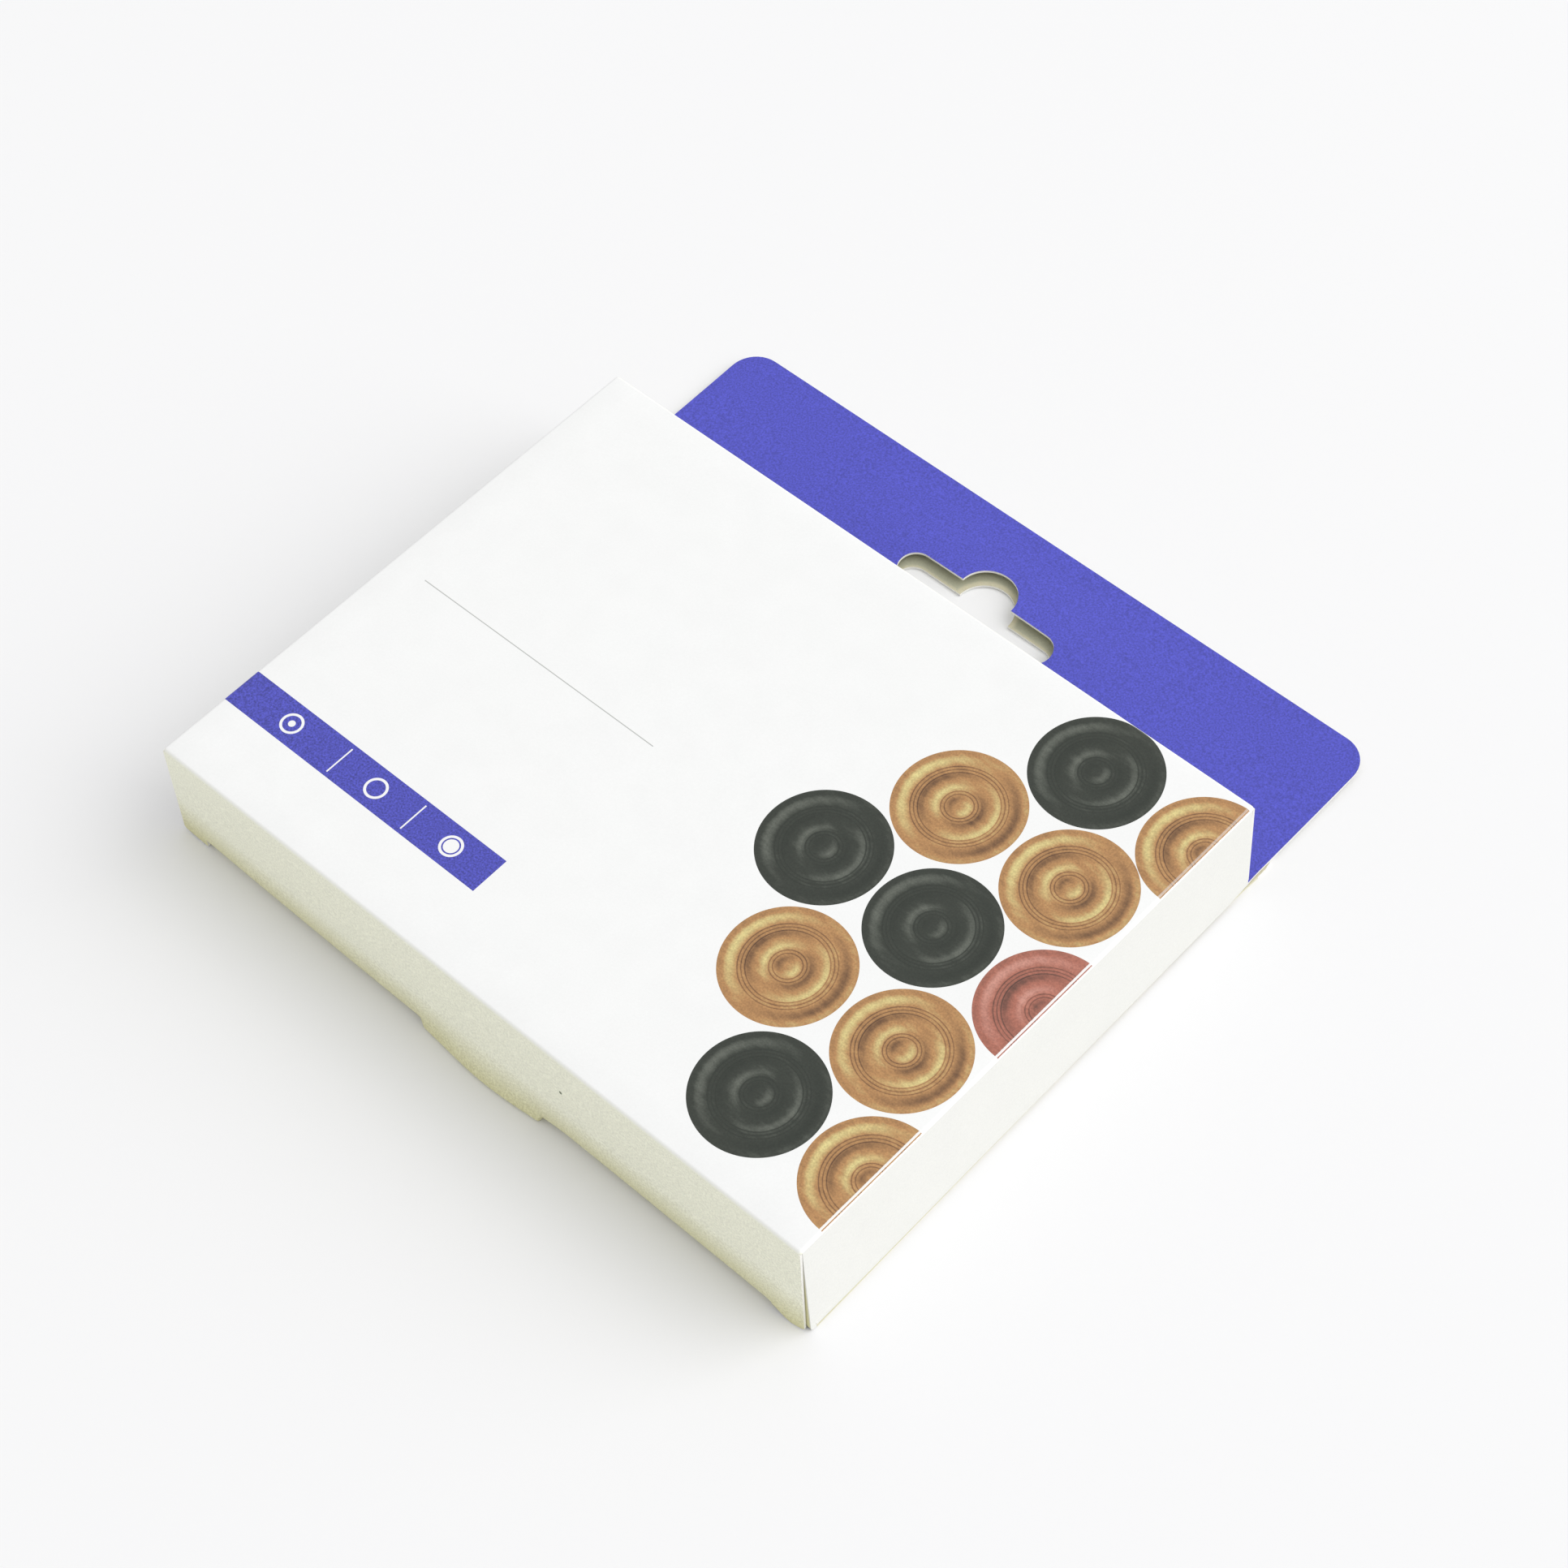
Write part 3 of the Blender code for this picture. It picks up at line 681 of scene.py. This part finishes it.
LEFT_SHOULDER, RIGHT_SHOULDER = 0.0003, 0.00165


def bow(place):
    """A board held at both ends bows out in the middle."""
    height = (place.z - fold_level) / (crease_level - fold_level)
    across = 1 - (place.x / HALF_WIDTH) ** 2
    return Vector((0, -TUCK_BOW * across * math.sin(math.pi * min(max(height, 0), 1)), 0))


def pressed(place):
    """The lower flap's shape: bulged all along, swollen at the notch and sagging at its right end."""
    low_down = 1 - ease((place.z - lip_high.z) / THUMB_FADE)
    inwards = 1 - ease((place.y - fold_line) / THUMB_FADE)
    hang = (crease_level - place.z) / (crease_level - fold_level)
    bulge = BULGE + (RIGHT_LEAN if place.x > 0 else -LEFT_HELD) * (place.x / HALF_WIDTH) ** 2
    bulge *= 1 - CORNER_HELD * ease((place.x - HELD_START) / (HELD_FULL - HELD_START))
    swell = math.cos(math.pi / 2 * min(abs(place.x - THUMB_MIDDLE) / THUMB_HALF, 1)) ** 2
    notch = NOTCH_RADIUS**2 - max(place.y - NOTCH_MIDDLE, 0) ** 2
    room = math.sqrt(max(notch, 0)) - abs(place.x)
    hump = ease((place.x - STEP_START) / (STEP_FULL - STEP_START))
    hump *= 1 - ease((place.x - CATCH) / CATCH_ROUND)
    drop = THUMB_DROP * hump * ease(room / NOTCH_ROUND) * inwards
    step = STEP_OUT * hump * (1 - ease((place.z - lip_high.z) / STEP_FADE))
    out = (bulge * hang + THUMB_OUT * swell * low_down + step) * inwards
    before_plies = ease((ply_foot - place.y + out) / SAG_REACH)
    drop += END_SAG * ease((place.x - SAG_START) / (SAG_FULL - SAG_START)) * before_plies
    flare = FLARE * ease((place.x - FLARE_START) / (HALF_WIDTH - FLARE_START)) * min(hang, 1)
    return bow(place) + Vector((flare, -out, -drop * low_down))


hold_flap(tuck_flap("bottom_tuck_flap", pressed, (LEFT_SHOULDER, RIGHT_SHOULDER)), "bottom")

top_flap = tuck_flap("top_tuck_flap", bow, (lip_low.z, lip_low.z))
top_flap.rotation_euler.z = math.pi
bpy.ops.object.transform_apply(location=False, rotation=True, scale=False)
hold_flap(top_flap, "top")


# Dust flaps. The sides end in short tapered flaps that fold in behind the tuck flaps. They are cut
# flat, so the solids stay as they are, coated on the face that is turned out and raw on the other.

dust_low, dust_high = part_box("top_right_dust_flap")


def one_coated_face(tree, spot, colour, fibre):
    """Coated on the half of the board that is turned out of the carton."""
    y = wire(tree, "SeparateXYZ", spot).node.outputs["Y"]
    from_middle = wire(tree, "Math", y, operation="ABSOLUTE")
    outer = wire(tree, "Math", from_middle, (dust_low.y + dust_high.y) / 2, operation="GREATER_THAN")
    return wire(tree, "MixRGB", outer, RAW_GREY, colour)


dust_board = board_finish("dust_board", SHADE_TONED_CREAM, fleck=0.92, paint=one_coated_face)
for name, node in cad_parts.items():
    if name.endswith("dust_flap"):
        node.data.materials.clear()
        node.data.materials.append(dust_board)


# Coins. Each is turned from a wooden disc, with a rounded edge, a dished face with fine grooves and
# a boss in the middle, and is lacquered natural, black or red.

COIN_SEGMENTS = 72
COIN_EDGE = 0.0012
# Rings from the flat rim inwards, on both faces: how wide each is, and how far it rises
COIN_RINGS = (
    (0.0019, 0.0), (0.00025, -0.00012), (0.00025, 0.00010), (0.0008, -0.00005), (0.0008, -0.00016),
    (0.0003, -0.00010), (0.00025, 0.00006), (0.0010, -0.00020), (0.0013, -0.00022), (0.0013, -0.00020),
    (0.0011, -0.00014), (0.0008, -0.00007), (0.0003, 0.00012), (0.0007, 0.00058), (0.0004, 0.0),
    (0.0008, -0.00010), (0.0009, -0.00006),
)
COIN_WOODS = {
    "queen_coin": ("red_wood", ((0.20, 0.020, 0.018), (0.40, 0.050, 0.045), (0.52, 0.09, 0.08))),
    "black_coin": ("black_wood", ((0.010, 0.011, 0.0105), (0.020, 0.022, 0.021), (0.036, 0.038, 0.036))),
    "white_coin": ("natural_wood", ((0.27, 0.12, 0.035), (0.48, 0.25, 0.08), (0.62, 0.38, 0.15))),
}
WOOD_STRETCH, WOOD_SCALE = 0.12, 1500
LATHE_LINES, GRAIN_SHARE = 16000.0, 2.0
WOOD_BUMP, WOOD_HEIGHT = 0.15, 0.00004
WOOD_ROUGH_LOW, WOOD_ROUGH_HIGH = 0.30, 0.44
LACQUER, LACQUER_ROUGH = 0.3, 0.15


def turned_wood(name, tones):
    """Lacquered wood: long grain across the disc, with fine lathe lines round its middle."""
    material = bpy.data.materials.new(name)
    material.use_nodes = True
    tree = material.node_tree
    spot = wire(tree, "TexCoord").node.outputs["Object"]
    turned = wire(tree, "Attribute", attribute_name="from_middle").node.outputs["Vector"]
    along = wire(tree, "Mapping", Vector=spot, Scale=(WOOD_STRETCH, 1, 1))
    grain = wire(tree, "TexNoise", Vector=along, Scale=WOOD_SCALE, Detail=5, Roughness=0.6, Distortion=0.4)
    places = (NOISE_LOW, 0.5, NOISE_HIGH)
    colour = ramp(tree, grain, [(at, (*tone, 1)) for at, tone in zip(places, tones)])
    flat = wire(tree, "VectorMath", turned, (1, 1, 0), operation="MULTIPLY")
    away = wire(tree, "VectorMath", flat, operation="LENGTH")
    lathe = wire(tree, "Math", away, LATHE_LINES, operation="MULTIPLY")
    lathe = wire(tree, "Math", lathe, operation="SINE")
    height = wire(tree, "Math", grain, GRAIN_SHARE, lathe, operation="MULTIPLY_ADD")
    shader = tree.nodes["Principled BSDF"]
    bump = wire(tree, "Bump", Strength=WOOD_BUMP, Distance=WOOD_HEIGHT, Height=height)
    rough = wire(tree, "MapRange", grain, NOISE_LOW, NOISE_HIGH, WOOD_ROUGH_LOW, WOOD_ROUGH_HIGH)
    for socket, value in (("Base Color", colour), ("Roughness", rough), ("Normal", bump)):
        tree.links.new(value, shader.inputs[socket])
    shader.inputs["Coat Weight"].default_value = LACQUER
    shader.inputs["Coat Roughness"].default_value = LACQUER_ROUGH
    return material


coin_low, coin_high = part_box("queen_coin_01")
blank = begin(
    "coin_blank", bpy.ops.mesh.primitive_cylinder_add, vertices=COIN_SEGMENTS,
    radius=(coin_high.x - coin_low.x) / 2, depth=coin_high.z - coin_low.z,
)
pick(blank, "edges", lambda edge: abs(edge.verts[0].co.z - edge.verts[1].co.z) < HAIRLINE)
bpy.ops.mesh.bevel(offset=COIN_EDGE, segments=ROUND_STEPS, affect="EDGES")
pick(blank, "faces", lambda face: len(face.verts) == COIN_SEGMENTS)
for width, rise in COIN_RINGS:
    bpy.ops.mesh.inset(thickness=width, depth=rise)
bpy.ops.object.mode_set(mode="OBJECT")
bpy.ops.object.shade_smooth_by_angle(angle=SMOOTH_ANGLE)
from_middle = blank.data.attributes.new("from_middle", "FLOAT_VECTOR", "POINT")
for vert, spot in zip(blank.data.vertices, from_middle.data):
    spot.vector = vert.co

for kind, (slot, tones) in COIN_WOODS.items():
    wood = turned_wood(slot, tones)
    for node in sorted(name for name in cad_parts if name.startswith(kind)):
        low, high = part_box(node)
        coin = blank.copy()
        coin.data = blank.data.copy()
        coin.name = coin.data.name = f"{node}_turned"
        coin.data.transform(Matrix.Translation((low + high) / 2))
        coin.data.materials.append(wood)
        bpy.context.scene.collection.objects.link(coin)
        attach(coin, "coins")
        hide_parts(node)
bpy.data.objects.remove(blank)


# Stage. The set lies on its back on a plain pale floor, in soft light from beyond its right side,
# and is seen from above its lower right corner.

FLOOR_WHITE = (0.86, 0.86, 0.875, 1)
FLOOR_SIZE, FLOOR_ROUGH = 6.0, 0.9
SKY = (1.0, 1.0, 0.985)
SKY_LEVEL = 0.75
LAMP_FROM = Vector((0.38, 0.33, 0.42)).normalized()
LAMP_REACH, LAMP_SIZE = 8.0, 8.8
LAMP_POWER = 480
CAMERA_PLACE = Vector((0.2469, -0.21587, 0.47056))
CAMERA_AIM = Vector((-0.42629, 0.40156, -0.81057))
CAMERA_ROLL = math.radians(-4.86)
CAMERA_LENS = 86.53

bpy.ops.object.select_all(action="DESELECT")
bpy.ops.mesh.primitive_plane_add(size=FLOOR_SIZE)
floor = bpy.context.object
floor.name = "floor"
pale = bpy.data.materials.new("pale_floor")
pale.use_nodes = True
paint = pale.node_tree.nodes["Principled BSDF"].inputs
paint["Base Color"].default_value = FLOOR_WHITE
paint["Roughness"].default_value = FLOOR_ROUGH
floor.data.materials.append(pale)

scene = bpy.context.scene
scene.view_settings.view_transform = "Standard"
world = bpy.data.worlds.new("studio")
world.use_nodes = True
sky = world.node_tree.nodes["Background"].inputs
sky["Color"].default_value = (*SKY, 1)
sky["Strength"].default_value = SKY_LEVEL
scene.world = world

bpy.ops.object.light_add(type="AREA", location=LAMP_FROM * LAMP_REACH)
lamp = bpy.context.object
lamp.rotation_euler = LAMP_FROM.to_track_quat("Z", "Y").to_euler()
lamp.data.size = LAMP_SIZE
lamp.data.energy = LAMP_POWER

bpy.ops.object.camera_add(location=CAMERA_PLACE)
camera = bpy.context.object
level_view = CAMERA_AIM.to_track_quat("-Z", "Y").to_matrix()
camera.rotation_euler = (level_view @ Matrix.Rotation(CAMERA_ROLL, 3, "Z")).to_euler()
camera.data.lens = CAMERA_LENS
scene.camera = camera
